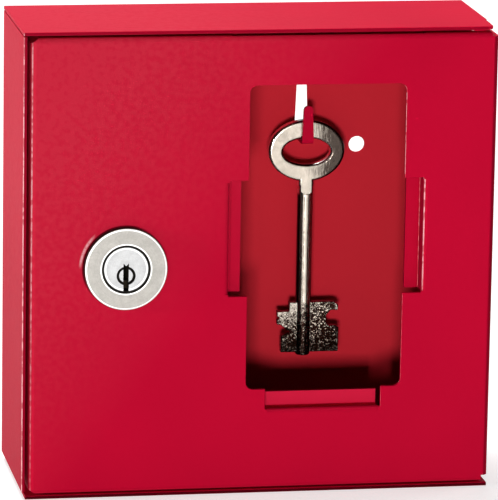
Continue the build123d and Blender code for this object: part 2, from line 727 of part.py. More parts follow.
with BuildPart() as emergency_key:
    with BuildSketch(Plane.XY.offset(key_tip)):
        with Locations((hook_x, -key_depth)):
            Circle(shank_diameter / 2)
    extrude(amount=neck_foot + neck_end - key_tip)
    chamfer(emergency_key.faces().sort_by(Axis.Z)[0].edges(), tip_chamfer)
    # The shank is milled flat, front and back, where the neck runs down onto it.
    for flat_depth, reach in ((key_depth + bow_thickness / 2, 1), (key_depth - bow_thickness / 2, -1)):
        with BuildSketch(facing(flat_depth)):
            with Locations((hook_x, neck_foot + neck_end)):
                Ellipse(shank_diameter / 2, neck_end)
        extrude(amount=reach * shank_diameter, mode=Mode.SUBTRACT)
    add(bow_and_neck.part)
    add(key_bits.part)
finish_part(emergency_key, "emergency_key")
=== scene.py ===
"""Break-glass key box: finishes, small fittings and studio round the fixed metal model."""

import math

import bmesh
import bpy
from bpy.props import FloatProperty, FloatVectorProperty, PointerProperty
from mathutils import Matrix, Vector


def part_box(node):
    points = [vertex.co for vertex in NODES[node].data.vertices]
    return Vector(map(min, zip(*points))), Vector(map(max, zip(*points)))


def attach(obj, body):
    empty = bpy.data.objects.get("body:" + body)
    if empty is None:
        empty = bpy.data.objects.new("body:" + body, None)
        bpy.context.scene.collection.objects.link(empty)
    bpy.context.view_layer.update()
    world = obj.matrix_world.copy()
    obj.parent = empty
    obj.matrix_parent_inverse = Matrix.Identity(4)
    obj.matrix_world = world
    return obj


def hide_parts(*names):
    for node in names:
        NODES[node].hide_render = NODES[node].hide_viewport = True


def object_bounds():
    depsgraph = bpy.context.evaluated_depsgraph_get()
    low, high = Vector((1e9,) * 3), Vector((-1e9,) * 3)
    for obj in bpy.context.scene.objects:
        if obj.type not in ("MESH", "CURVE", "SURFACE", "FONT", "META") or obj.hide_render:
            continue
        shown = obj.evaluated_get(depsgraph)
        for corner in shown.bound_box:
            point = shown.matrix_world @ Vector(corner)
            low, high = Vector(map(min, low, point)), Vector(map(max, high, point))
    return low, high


bl_info = {
    "name": "Break-Glass Key Box",
    "version": (1, 0, 0),
    "blender": (4, 5, 0),
    "location": "3D View > Sidebar > Key Box",
    "description": "Finishes, small fittings and studio of a glazed emergency key box",
    "category": "Object",
}

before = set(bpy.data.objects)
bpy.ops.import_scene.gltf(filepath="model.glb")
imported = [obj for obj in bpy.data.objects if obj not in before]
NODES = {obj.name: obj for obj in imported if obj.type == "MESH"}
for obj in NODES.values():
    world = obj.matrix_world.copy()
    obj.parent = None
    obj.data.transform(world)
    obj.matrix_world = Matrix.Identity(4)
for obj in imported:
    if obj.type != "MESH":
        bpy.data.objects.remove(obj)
CAD_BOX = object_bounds()
MM = 0.001
BLACK = (0.0, 0.0, 0.0)
WHITE = (1.0, 1.0, 1.0)

# The Mix node's colour sockets go by number, since its other kinds share their names.
MIX_FIRST, MIX_SECOND, MIX_RESULT = 6, 7, 2
# The middle of a noise, which a ramp spreads from 0 to 1.
CLOUDY = (0.35, 0.65)
# How far a face is turned to an axis: its normal's part on that axis, where a mask starts
# and where it is full.
LEANING = (0.3, 0.6)
HALFWAY = (0.4, 0.6)
STEEP = (0.6, 0.8)
SQUARE_ON = (0.8, 0.9)

# A little more than the thickness of the cabinet's sheet.
PAST_SHEET = 1.1 * MM
BOW_HEIGHT = 17.4 * MM
SPRING_COUNT = 5
SPRING_TURNS = 7
SPRING_STEPS = 20
SPRING_SIDES = 8
THREAD_STEPS = 28
# The thread rises to its full height over one part in this many of a ridge.
THREAD_TAPER = 6
THREAD_SINK = 0.1 * MM
# Half widths of the thread's foot and crest, in pitches.
THREAD_FOOT = 0.4
THREAD_CREST = 0.06
# Name, place, width and height in metres, and the setting that holds the power.
SOFT_BOXES = (
    ("Main Lamp", (-0.33, -1.7, 0.03), (0.25, 0.2), "main_power"),
    ("Top Lamp", (-0.25, 0.35, 1.3), (0.9, 0.6), "top_power"),
    ("Side Lamp", (-1.5, -0.25, 0.2), (0.15, 0.15), "side_power"),
    ("Fill Lamp", (1.3, 0.5, 0.35), (0.5, 0.5), "fill_power"),
)


# ---- Shader building -------------------------------------------------------------------------
class Signal:
    """A socket that Python expressions on values can be written with."""

    def __init__(self, finish, socket):
        self.finish = finish
        self.socket = socket

    def _with(self, operation, first, second):
        return self.finish.node("ShaderNodeMath", {"operation": operation}, {0: first, 1: second})

    def __add__(self, other):
        return self._with("ADD", self, other)

    def __radd__(self, other):
        return self._with("ADD", other, self)

    def __sub__(self, other):
        return self._with("SUBTRACT", self, other)

    def __rsub__(self, other):
        return self._with("SUBTRACT", other, self)

    def __mul__(self, other):
        return self._with("MULTIPLY", self, other)

    def __rmul__(self, other):
        return self._with("MULTIPLY", other, self)

    def __pow__(self, other):
        return self._with("POWER", self, other)

    def __neg__(self):
        return self._with("MULTIPLY", self, -1.0)


class Finish:
    """One surface finish: the node tree of a new material, or of the world."""

    def __init__(self, owner):
        owner.use_nodes = True
        self.owner = owner
        self.tree = owner.node_tree
        self.tree.nodes.clear()

    def node(self, kind, settings=None, sockets=None, output=0):
        """Add a node, make its settings, then give its sockets their values or links."""
        made = self.tree.nodes.new(kind)
        for key, value in (settings or {}).items():
            setattr(made, key, value)
        for key, value in (sockets or {}).items():
            if isinstance(value, Signal):
                self.tree.links.new(value.socket, made.inputs[key])
            else:
                made.inputs[key].default_value = value
        return Signal(self, made.outputs[output]) if made.outputs else None

    def place(self):
        return self.node("ShaderNodeTexCoord", output="Object")

    def normal(self):
        return self.node("ShaderNodeTexCoord", output="Normal")

    def split(self, vector, axis):
        return self.node("ShaderNodeSeparateXYZ", {}, {0: vector}, output=axis)

    def noise(self, place, grain, detail=2.0, roughness=0.5, distortion=0.0):
        """Cloudy noise whose patches are about grain metres across, from 0 to 1."""
        return self.node(
            "ShaderNodeTexNoise",
            {},
            {
                "Vector": place,
                "Scale": 1.0 / grain,
                "Detail": detail,
                "Roughness": roughness,
                "Distortion": distortion,
            },
        )

    def ramp(self, value, low, high):
        """The value spread from low..high to 0..1 and held there."""
        return self.node(
            "ShaderNodeMapRange",
            {"clamp": True},
            {"Value": value, "From Min": low, "From Max": high},
        )

    def past(self, value, edge, soft):
        """0 up to an edge and 1 past it, with a soft step between."""
        return self.ramp(value, edge, edge + soft)

    def short_of(self, value, edge, soft):
        """1 up to an edge and 0 past it, with a soft step between."""
        return 1.0 - self.past(value, edge, soft)

    def band(self, value, inner, outer, soft=0.06 * MM):
        """1 between two edges and 0 elsewhere, with soft sides."""
        return self.past(value, inner - soft, 2 * soft) * self.short_of(
            value, outer - soft, 2 * soft
        )

    def blend_colours(self, share, first, second):
        return self.node(
            "ShaderNodeMix",
            {"data_type": "RGBA"},
            {0: share, MIX_FIRST: first, MIX_SECOND: second},
            output=MIX_RESULT,
        )

    def two_tone(self, share, colour, dark, pale):
        """A colour that drifts between a darker and a paler tone of itself."""
        return self.blend_colours(share, tinted(colour, dark), tinted(colour, pale))

    def size_of(self, value):
        """The value without its sign."""
        return self.node("ShaderNodeMath", {"operation": "ABSOLUTE"}, {0: value})

    def radius(self, across, up):
        return (across * across + up * up) ** 0.5

    def lathe_radius(self, place, axis):
        """Distance from an axis along Y."""
        return self.radius(self.split(place, "X") - axis[0], self.split(place, "Z") - axis[1])

    def facing_out(self, low, high):
        """1 on faces that look along Y and 0 on side walls, with a soft step between."""
        return self.ramp(self.size_of(self.split(self.normal(), "Y")), low, high)

    def bump(self, height, depth):
        return self.node("ShaderNodeBump", {}, {"Distance": depth, "Height": height})

    def seen(self):
        """1 for rays from the camera and rays mirrored or let through by glass and metal."""
        total = self.node("ShaderNodeLightPath", output="Is Camera Ray")
        for kind in ("Is Glossy Ray", "Is Transmission Ray"):
            total = total + self.node("ShaderNodeLightPath", output=kind)
        return self.ramp(total, 0.0, 1.0)

    def principled(self, sockets):
        return self.node("ShaderNodeBsdfPrincipled", {}, sockets)

    def done(self, surface, end="ShaderNodeOutputMaterial"):
        self.node(end, {}, {"Surface": surface})
        return self.owner

    def metal_done(self, tone, roughness, height, depth):
        """End as bare metal."""
        return self.done(
            self.principled(
                {
                    "Base Color": tone,
                    "Metallic": 1.0,
                    "Roughness": roughness,
                    "Normal": self.bump(height, depth),
                }
            )
        )


def new_finish(name):
    return Finish(bpy.data.materials.new(name))


def opaque(colour):
    return (*colour, 1.0)


def tinted(colour, share):
    """The colour made lighter or darker by a share."""
    return opaque([min(1.0, part * share) for part in colour])


# ---- Finishes --------------------------------------------------------------------------------
class PowderCoat(Finish):
    """Powder coat with orange peel and a painted sheen towards the upper left."""

    def __init__(self, look, name):
        super().__init__(bpy.data.materials.new(name))
        self.look = look
        place = self.place()
        self.across = self.split(place, "X")
        self.depth = -self.split(place, "Y")
        self.height = self.split(place, "Z")
        normal = self.normal()
        self.rightward = self.split(normal, "X")
        self.leftward = -self.rightward
        self.backward = self.split(normal, "Y")
        self.forward = -self.backward
        self.upward = self.split(normal, "Z")
        self.peel = self.noise(place, look.peel_size, 1.5, 0.4)
        self.grit = self.noise(place, look.peel_size / 4, 1.0)
        drift = self.noise(place, 35.0 * MM, 1.0)
        self.colour = self.two_tone(self.ramp(drift, *CLOUDY), look.coat_colour, 0.97, 1.03)
        # Painted sheen: the coat is lightened in patches towards the upper left, where the light
        # falls on it.
        to_upper_left = self.height - 1.4 * self.across
        brightened = self.ramp(to_upper_left, 10.0 * MM, 120.0 * MM)
        self.paint(brightened * (0.7 + 0.6 * self.ramp(self.peel, *CLOUDY)), look.sheen_colour)

    def paint(self, share, colour):
        """Lay a share of another colour over the coat."""
        self.colour = self.blend_colours(share, self.colour, opaque(colour))

    def shade_tone(self, times):
        """Painted shade: the coat's colour on a sheared edge, made so many times darker."""
        return tinted(self.look.coat_colour, self.look.edge_shade_share / times)

    def paint_shade(self, share, times):
        """Lay painted shade over a share of the coat, so many times darker than the painted shade
        on a sheared edge.
        """
        self.colour = self.blend_colours(share, self.colour, self.shade_tone(times))

    def highlight_edges(self, share, low, high):
        """Lay a painted highlight in patches along edges that face both the left and the front."""
        edge = self.ramp(self.leftward, low, high) * self.ramp(self.forward, low, high)
        patchy = 0.3 + 0.7 * self.ramp(self.peel, 0.42, 0.56)
        highlighted = self.blend_colours(edge * patchy, self.colour, opaque(self.look.edge_highlight_colour))
        self.colour = self.blend_colours(share, self.colour, highlighted)

    def cure(self):
        """Harden the coat: its colour goes under the same satin skin everywhere."""
        return self.done(
            self.principled(
                {
                    "Base Color": self.colour,
                    "Roughness": 0.36 + 0.1 * self.grit,
                    "Specular IOR Level": 0.004,
                    "Normal": self.bump(self.peel + 0.2 * self.grit, self.look.peel_depth),
                }
            )
        )


def cabinet_coat(look, low, high):
    """Coat of the cabinet, with painted shade on the sheared front edges, on the inner walls and
    at the foot of the outer left wall, and painted highlights along its front edges.
    """
    coat = PowderCoat(look, "Cabinet Powder Coat")
    # Painted shade: the outer left wall is darkened towards its foot.
    outer_left = coat.ramp(coat.leftward, 0.5, 0.7)
    outer_left = outer_left * coat.past(-coat.across, high.x - PAST_SHEET, PAST_SHEET)
    low_down = coat.short_of(coat.height, low.z, 90.0 * MM)
    coat.paint(0.22 * outer_left * low_down, BLACK)

    soft = 0.1 * PAST_SHEET
    within = coat.short_of(coat.size_of(coat.across), high.x - PAST_SHEET, soft)
    within = within * coat.short_of(coat.size_of(coat.height), high.z - PAST_SHEET, soft)
    at_back = coat.short_of(coat.depth, 2 * PAST_SHEET, PAST_SHEET)
    coat.paint(within * coat.ramp(coat.forward, *HALFWAY) * at_back, look.back_colour)

    unshaded_depth = 13.0 * MM  # from the back plate, where the inner walls carry no painted shade
    # Painted shade on the inner walls towards the front, deeper near the bottom.
    inner_wall = within * (1.0 - coat.facing_out(*HALFWAY))
    inner_wall = inner_wall * coat.past(coat.depth, unshaded_depth, MM)
    deep_shade = coat.short_of(coat.height, low.z + 2.0 * MM, 10.0 * MM)
    coat.paint_shade((0.5 + 0.45 * deep_shade) * inner_wall, 20)

    front = -low.y
    # Painted shade: the sheared front edges are darkened, the bottom wall's edge four times as
    # much.
    sheared = coat.past(coat.depth, front - 0.12 * MM, 0.1 * MM)
    upright = coat.past(coat.height, low.z + MM, MM)
    edge = coat.blend_colours(upright, coat.shade_tone(4), coat.shade_tone(1))
    coat.colour = coat.blend_colours(sheared, coat.colour, edge)
    # Painted highlights along the front edges.
    coat.highlight_edges(coat.past(coat.depth, front - 4.0 * MM, MM), 0.12, 0.3)
    return coat.cure()


def door_coat(look, low, high, axis, flange_radius):
    """Coat of the door: painted shade on its back, its sill, its folds, its right bend and round
    the lock; painted light on the glass clips; painted highlights on its edges and the window's
    cut edge, and a painted reflection by the lock.
    """
    coat = PowderCoat(look, "Door Powder Coat")
    front_half = coat.ramp(coat.forward, *STEEP)
    left_wall = coat.ramp(coat.leftward, *STEEP)
    front = -low.y
    set_back = coat.short_of(coat.depth, front - 0.5 * MM, 0.3 * MM)

    # Painted shade on the door's back and on the top of its sill.
    coat.paint_shade(0.8 * coat.ramp(coat.backward, *LEANING), 4)
    on_sill = coat.short_of(coat.height, low.z + 1.5 * MM, 0.5 * MM)
    coat.paint_shade(coat.ramp(coat.upward, *LEANING) * on_sill, 20)
    # Painted shade on left-facing walls behind the face on the right half, and on the right bend.
    fold = left_wall * set_back * coat.past(coat.across, 0.0, 10.0 * MM)
    bend = coat.ramp(coat.rightward, 0.1, 0.35) * (1.0 - coat.ramp(coat.rightward, 0.85, 0.97))
    bend = bend * coat.past(coat.across, high.x - 2.5 * MM, 0.5 * MM)
    coat.paint_shade(0.5 * fold + 0.55 * bend, 20)
    lay_lock_marks(coat, axis, flange_radius)

    # Painted light: the set-back front faces of the lower and left glass clips are lightened.
    lower_clip = coat.short_of(coat.height, low.z + 30.0 * MM, 2.0 * MM)
    left_clip = coat.short_of(coat.across, -3.0 * MM, 2.0 * MM)
    clip_light = front_half * set_back * (0.5 * lower_clip + 0.1 * left_clip)
    coat.paint(clip_light, look.clip_light_colour)
    # Painted highlight in patches on the left-facing cut edge of the window.
    cut = left_wall * (1.0 - set_back) * coat.past(coat.across, 10.0 * MM, 5.0 * MM)
    cut = cut * coat.past(coat.height, 14.0 * MM, 8.0 * MM) * coat.ramp(coat.peel, 0.4, 0.5)
    coat.paint(0.9 * cut, look.edge_highlight_colour)

    # Painted highlights along the door's edges, fainter towards the bottom.
    higher_up = coat.past(coat.height, low.z + 10.0 * MM, 70.0 * MM)
    coat.highlight_edges(0.35 + 0.65 * higher_up, 0.56, 0.62)
    return coat.cure()


def lay_lock_marks(coat, axis, flange_radius):
    """Painted shade along the lock's flange at its upper left, and a painted reflection in an arc
    at its upper left.
    """
    front = coat.ramp(coat.forward, *SQUARE_ON)
    across = coat.across - axis[0]
    up = coat.height - axis[1]
    radius = coat.radius(across, up)
    upper_left = coat.ramp(up - across, 0.0, 0.8 * flange_radius)
    # Painted shade where the flange meets the door at its upper left.
    contact_shade = front * coat.short_of(radius, flange_radius + 0.3 * MM, 0.3 * MM)
    coat.paint_shade(0.85 * contact_shade * upper_left, 20)

    # Painted reflection: a pale broken arc round the flange at its upper left.
    arc_radius = flange_radius + 0.95 * MM
    arc = coat.short_of(coat.size_of(radius - arc_radius), 0.15 * MM, 0.35 * MM)
    arc = arc * coat.ramp(-across, 0.72 * flange_radius, 0.85 * flange_radius)
    arc = arc * coat.ramp(up, 0.0, 0.2 * flange_radius)
    arc_patches = 0.6 + 0.4 * coat.ramp(coat.grit, 0.35, 0.6)
    coat.paint(0.85 * arc * front * arc_patches, coat.look.edge_highlight_colour)


def satin_nickel(look, name, axis, colour, highlight_bands, shade_bands, shade_behind):
    """Turned nickel with painted highlight bands, painted shade bands, painted shade behind a
    plane and painted dark reflection on the side walls.
    """
    metal = new_finish(name)
    place = metal.place()
    radius = metal.lathe_radius(place, axis)
    rings = metal.node(
        "ShaderNodeTexNoise",
        {"noise_dimensions": "1D"},
        {"W": radius, "Scale": 1.0 / (0.25 * MM), "Detail": 2.0},
    )
    cloud = metal.noise(place, 2.5 * MM, 3.0)
    speck = metal.noise(place, 0.45 * MM, 2.0)
    tone = metal.two_tone(metal.ramp(0.6 * cloud + 0.4 * speck, *CLOUDY), colour, 0.88, 1.1)
    # Painted highlights on the rims.
    for inner, outer in highlight_bands:
        tone = metal.blend_colours(
            metal.band(radius, inner, outer), tone, opaque(look.metal_highlight_colour)
        )
    # Painted shade in the gaps and grooves.
    dark = opaque(look.shade_colour)
    for centre, inner, outer in shade_bands:
        band = metal.band(metal.lathe_radius(place, centre), inner, outer)
        tone = metal.blend_colours(band, tone, dark)
    # Painted shade behind a plane.
    deep = metal.past(metal.split(place, "Y"), shade_behind, 0.1 * MM)
    tone = metal.blend_colours(deep, tone, dark)
    # Painted dark reflection on the side walls.
    tone = metal.blend_colours(metal.facing_out(0.4, 0.65), dark, tone)
    return metal.metal_done(tone, 0.52 + 0.16 * rings, rings + 0.4 * cloud, 0.012 * MM)


def key_nickel(look, axis_x, bow_foot, foot):
    """Cast nickel with a painted dark reflection on the right of the bow, blotchy stain mixed with
    painted dark reflection down the bits, painted glints on the bits, a dark parting line down the
    shank, a painted highlight on left-facing walls and a painted dark reflection on the other
    walls.
    """
    metal = new_finish("Key Nickel")
    place = metal.place()
    across = metal.split(place, "X") - axis_x
    height = metal.split(place, "Z")
    cast = metal.noise(place, 1.4 * MM, 4.0, 0.6)
    cloud = metal.noise(place, 5.0 * MM, 3.0, 0.6, 0.6)
    fine = metal.noise(place, 0.4 * MM, 2.0, 0.6)
    drawn_out = metal.node(
        "ShaderNodeVectorMath", {"operation": "MULTIPLY"}, {0: place, 1: (1.0, 1.0, 0.12)}
    )
    scratch = metal.noise(drawn_out, 0.3 * MM, 2.0)
    colour = metal.two_tone(metal.ramp(cloud, 0.3, 0.75), look.key_colour, 0.72, 1.08)

    # Painted dark reflection on the right of the bow; down the bits blotchy stain mixed with
    # painted dark reflection, deeper low down and to the right.
    in_bow = metal.past(height, bow_foot, 2.0 * MM)
    right_side = metal.ramp(across + 9.0 * MM * (scratch - 0.5), 0.8 * MM, 6.0 * MM)
    in_bits = metal.short_of(height, foot + 15.0 * MM, MM)
    low_down = metal.short_of(height, foot + 2.0 * MM, 11.0 * MM)
    to_right = metal.ramp(across, -3.0 * MM, 6.0 * MM)
    blotches = metal.ramp(0.6 * cast + 0.4 * fine + 0.3 * low_down + 0.14 * to_right, 0.47, 0.6)
    stain_and_reflection = metal.ramp(in_bow * right_side + blotches * in_bits, 0.0, 1.0)
    colour = metal.blend_colours((0.9 + 0.1 * in_bits) * stain_and_reflection, colour, opaque(look.stain_and_reflection_colour))
    glints = metal.ramp(fine, 0.58, 0.63) * in_bits * (1.0 - 0.5 * low_down)
    colour = metal.blend_colours(glints, colour, tinted(look.key_colour, 1.15))

    on_shank = metal.short_of(height, bow_foot - 4.0 * MM, MM)
    parting = metal.short_of(metal.size_of(across + 0.5 * MM), 0.05 * MM, 0.15 * MM) * on_shank
    parting = parting * metal.ramp(fine, 0.35, 0.5)
    colour = metal.blend_colours(0.85 * parting, colour, opaque(look.stain_and_reflection_colour))

    # Painted highlight on left-facing walls, painted dark reflection on the other walls and the
    # shank's sides.
    normal = metal.normal()
    lit_wall = (1.0 - metal.ramp(metal.split(normal, "X"), -0.35, -0.1)) * (1.0 - on_shank)
    wall = metal.blend_colours(lit_wall, opaque(look.shade_colour), opaque(look.metal_highlight_colour))
    facing = metal.size_of(metal.split(normal, "Y")) + 0.2 * on_shank
    colour = metal.blend_colours(metal.ramp(facing, 0.78, 0.9), wall, colour)
    return metal.metal_done(colour, 0.16 + 0.16 * scratch, cast + 0.15 * scratch, 0.05 * MM)


def plain_metal(name, colour, grain, low, spread, depth):
    """A plated or drawn metal with a fine cloudy grain."""
    metal = new_finish(name)
    place = metal.place()
    cloud = metal.noise(place, grain, 4.0, 0.6)
    fleck = metal.noise(place, grain / 6, 2.0)
    tone = metal.two_tone(metal.ramp(cloud, 0.3, 0.7), colour, 0.86, 1.06)
    return metal.metal_done(tone, low + spread * fleck, cloud + 0.3 * fleck, depth)


def float_glass(look):
    """Clear glass whose mirror image grows at a slant."""
    glass = new_finish("Float Glass")
    haze = glass.noise(glass.place(), 18.0 * MM, 2.0)
    glass_index = 1.5
    face_on = 0.042  # up to this Fresnel share the pane mirrors nothing
    slant = glass.ramp(glass.node("ShaderNodeFresnel", {}, {"IOR": glass_index}), face_on, 1.0)
    outside = 1.0 - glass.node("ShaderNodeNewGeometry", output="Backfacing")
    clear = glass.node("ShaderNodeBsdfTransparent", {}, {"Color": opaque(look.glass_tint)})
    gloss = glass.principled(
        {
            "Base Color": opaque((0.6, 0.7, 0.65)),
            "Metallic": 1.0,
            "Roughness": 0.02 + 0.02 * haze,
        }
    )
    share = outside * slant * look.glass_gloss
    return glass.done(glass.node("ShaderNodeMixShader", {}, {0: share, 1: clear, 2: gloss}))


def floor_board(studio):
    """Plain pale floor that takes shadows near the box and stays white far off."""
    board = new_finish("Studio Floor")
    place = board.place()
    cloud = board.noise(place, 0.4, 2.0)
    tone = board.two_tone(cloud, studio.floor_colour, 0.99, 1.01)
    far = board.ramp(board.radius(board.split(place, "X"), board.split(place, "Y")), 0.6, 1.6)
    level = board.seen() * (studio.floor_glow + (1.0 - studio.floor_glow) * far)
    glow = board.blend_colours(level, opaque(BLACK), opaque(WHITE))
    return board.done(
        board.principled(
            {
                "Base Color": tone,
                "Roughness": 0.9,
                "Emission Color": glow,
                "Emission Strength": 1.0,
            }
        )
    )


# ---- Mesh building ---------------------------------------------------------------------------
def dress(names, material):
    """Give carried-over metal parts their finish."""
    for name in names:
        slots = NODES[name].data.materials
        slots.clear()
        slots.append(material)


def new_piece(name, mesh, material, body):
    """Turn a finished bmesh into a piece that rides on a body."""
    bmesh.ops.recalc_face_normals(mesh, faces=mesh.faces)
    data = bpy.data.meshes.new(name)
    mesh.to_mesh(data)
    mesh.free()
    data.shade_smooth()
    data.materials.append(material)
    piece = bpy.data.objects.new(name, data)
    bpy.context.scene.collection.objects.link(piece)
    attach(piece, body)
    return piece


def sweep(mesh, rings):
    """Skin a closed tube through rings of points."""
    loops = [[mesh.verts.new(point) for point in ring] for ring in rings]
    for first, second in zip(loops, loops[1:]):
        for index in range(len(first)):
            after = (index + 1) % len(first)
            mesh.faces.new((first[index], first[after], second[after], second[index]))
    mesh.faces.new(loops[0])
    mesh.faces.new(list(reversed(loops[-1])))


def coil_spring(mesh, centre, foot, head, radius, wire):
    """A compression spring along Z with closed end turns."""
    total = SPRING_TURNS * SPRING_STEPS
    rings = []
    for step in range(total + 1):
        share = step / total
        eased = min(max((share * SPRING_TURNS - 1) / (SPRING_TURNS - 2), 0.0), 1.0)
        height = foot + wire + (head - foot - 2 * wire) * eased
        turn = 2 * math.pi * step / SPRING_STEPS
        outward = Vector((math.cos(turn), math.sin(turn), 0))
        middle = Vector((*centre, height)) + outward * radius
        ring = []
        for side in range(SPRING_SIDES):
            angle = 2 * math.pi * side / SPRING_SIDES
            rise = Vector((0, 0, wire * math.sin(angle)))
            ring.append(middle + outward * wire * math.cos(angle) + rise)
        rings.append(ring)
    sweep(mesh, rings)


def thread_ridge(mesh, axis, start, end, sizes):
    """Raised thread on a barrel with two flats, as one tapered ridge for each half turn."""
    radius = sizes.thread_diameter / 2
    pitch = sizes.thread_pitch
    half_open = math.acos(sizes.thread_flats / 2 / radius)
    foot_half = Vector((0, pitch * THREAD_FOOT, 0))
    crest_half = Vector((0, pitch * THREAD_CREST, 0))
    for half in range(2 * int((end - start) / pitch)):
        base = math.pi * (half % 2)
        rings = []
        for step in range(THREAD_STEPS + 1):
            share = step / THREAD_STEPS
            angle = base + half_open + (math.pi - 2 * half_open) * share
            taper = min(1.0, THREAD_TAPER * share, THREAD_TAPER * (1 - share))
            along = start + pitch * (half // 2 + (angle / (2 * math.pi)))
            outward = Vector((math.cos(angle), 0, math.sin(angle)))
            middle = Vector((axis[0], along, axis[1]))
            foot = middle + outward * (radius - THREAD_SINK)
            crest = middle + outward * (radius + sizes.thread_height * taper)
            rings.append(
                [foot - foot_half, crest - crest_half, crest + crest_half, foot + foot_half]
            )
        sweep(mesh, rings)


def soft_box(name, spot, target, size, power):
    """An area lamp aimed at a point."""
    data = bpy.data.lights.new(name, "AREA")
    data.shape = "RECTANGLE"
    data.size, data.size_y = size
    data.energy = power
    lamp = bpy.data.objects.new(name, data)
    lamp.location = spot
    lamp.rotation_euler = (Vector(target) - Vector(spot)).to_track_quat("-Z", "Y").to_euler()
    bpy.context.scene.collection.objects.link(lamp)


# ---- Settings --------------------------------------------------------------------------------
def colour_setting(name, description, default):
    return FloatVectorProperty(
        name=name,
        description=description,
        subtype="COLOR",
        size=3,
        min=0.0,
        max=1.0,
        default=default,
    )


def length_setting(name, description, default):
    return FloatProperty(
        name=name, description=description, default=default, min=0.0, unit="LENGTH", precision=5
    )


def share_setting(name, description, default):
    return FloatProperty(
        name=name, description=description, default=default, min=0.0, max=1.0, subtype="FACTOR"
    )


def angle_setting(name, description, degrees):
    return FloatProperty(
        name=name, description=description, unit="ROTATION", default=math.radians(degrees)
    )


def power_setting(name, description, default):
    return FloatProperty(
        name=name, description=description, default=default, min=0.0, unit="POWER"
    )


class KeyBoxFinishes(bpy.types.PropertyGroup):
    """Colours and surface sizes of the key box."""

    coat_colour: colour_setting("Coat", "Powder coat of cabinet and door", (0.56, 0.0035, 0.031))
    # Painted shade: how much of the coat's colour is left where shade is painted.
    edge_shade_share: share_setting(
        "Edge Coat", "How much of the coat's colour is left on the cabinet's sheared edges", 0.6
    )
    # Painted sheen: the coat's colour towards the upper left.
    sheen_colour: colour_setting("Faded Coat", "Coat where light has faded it", (0.6, 0.022, 0.05))
    # Painted highlight: the colour of highlights on edges, on the window's cut edge and in the arc
    # by the lock.
    edge_highlight_colour: colour_setting("Rubbed Edges", "Coat where edges are rubbed", (0.9, 0.45, 0.48))
    # Painted light on the set-back glass clips.
    clip_light_colour: colour_setting(
        "Worn Clips", "Coat of the glass clips, worn by the pane", (0.95, 0.025, 0.085)
    )
    back_colour: colour_setting("Back Plate", "Coat of the back plate", (0.62, 0.021, 0.036))
    peel_size: length_setting("Peel Size", "Width of the ripples in the powder coat", 1.6 * MM)
    peel_depth: length_setting("Peel Depth", "Height of the ripples", 0.03 * MM)
    lock_colour: colour_setting("Lock", "Satin nickel of the lock", (0.35, 0.335, 0.308))
    plug_colour: colour_setting("Plug", "Satin nickel of the lock's plug", (0.43, 0.43, 0.43))
    # Painted shade and painted dark reflection on nickel.
    shade_colour: colour_setting("Side Walls", "Dark nickel on side walls", (0.012, 0.01, 0.008))
    # Painted highlight colour on nickel rims and walls.
    metal_highlight_colour: colour_setting("Polished", "Nickel on polished rims", (0.95, 0.94, 0.92))
    key_colour: colour_setting("Key", "Nickel on the emergency key", (0.69, 0.58, 0.5))
    # Stain and painted dark reflection on the key.
    stain_and_reflection_colour: colour_setting("Key Stain", "Dark stain on the key", (0.018, 0.006, 0.004))
    zinc_colour: colour_setting("Zinc", "Bright zinc plating", (0.62, 0.63, 0.63))
    # Painted shade: the wafers are made nearly black.
    brass_shade_colour: colour_setting("Brass", "Tarnished brass of the wafers", (0.012, 0.009, 0.006))
    wire_colour: colour_setting("Spring Wire", "Wire of the springs", (0.5, 0.5, 0.5))
    glass_tint: colour_setting(
        "Glass Tint", "Light that the pane lets through", (0.99, 1.0, 0.995)
    )
    glass_gloss: share_setting(
        "Glass Gloss", "Share of the pane's mirror image that shows at a slant", 0.8
    )


class KeyBoxFittings(bpy.types.PropertyGroup):
    """Sizes of the small fittings in the lock."""

    mouth_gap: length_setting("Plug Gap", "Gap round the plug's face", 0.4 * MM)
    keyhole_drop: length_setting("Keyhole Drop", "From the plug's axis to the keyhole", 1.8 * MM)
    keyhole_diameter: length_setting("Keyhole", "Diameter of the keyhole", 4.9 * MM)
    thread_diameter: length_setting("Thread", "Root diameter of the barrel thread", 18.8 * MM)
    thread_flats: length_setting("Flats", "Distance across the barrel's flats", 16.0 * MM)
    thread_pitch: length_setting("Pitch", "Pitch of the barrel thread", 1.0 * MM)
    thread_height: length_setting("Thread Height", "Height of the barrel thread", 0.25 * MM)
    wire_radius: length_setting("Wire Radius", "Radius of the spring wire", 0.07 * MM)


class KeyBoxStudio(bpy.types.PropertyGroup):
    """Lamps, floor and camera."""

    floor_colour: colour_setting("Floor", "Plain pale floor", (0.5, 0.5, 0.5))
    floor_glow: share_setting("Floor Glow", "Extra paleness of the floor near the box", 0.62)
    floor_reach: length_setting("Floor Reach", "From the box to the floor's edge", 6.0)
    main_power: power_setting("Main Lamp", "Soft box at the front left", 18.2)
    top_power: power_setting("Top Lamp", "Soft box above and behind", 22.5)
    side_power: power_setting("Side Lamp", "Soft box at the left", 9.5)
    fill_power: power_setting("Fill Lamp", "Soft box at the right and behind", 7.0)
    room_light: share_setting("Room Light", "Even light of the room", 0.035)
    room_tone: share_setting("Room Tone", "How pale the room looks in glass and metal", 1.0)
    lens: FloatProperty(
        name="Lens", description="Focal length", unit="CAMERA", default=335.72, min=1.0
    )
    camera_place: FloatVectorProperty(
        name="Camera Place",
        description="Where the camera stands",
        subtype="TRANSLATION",
        unit="LENGTH",
        size=3,
        precision=5,
        default=(-0.22121, -1.26169, 0.27652),
    )
    camera_turn: angle_setting("Camera Turn", "Turn about the upright, from along Y", -10.163)
    camera_tilt: angle_setting("Camera Tilt", "Tilt up from straight down", 77.560)
    camera_roll: angle_setting("Camera Roll", "Roll about the line of sight", 0.966)


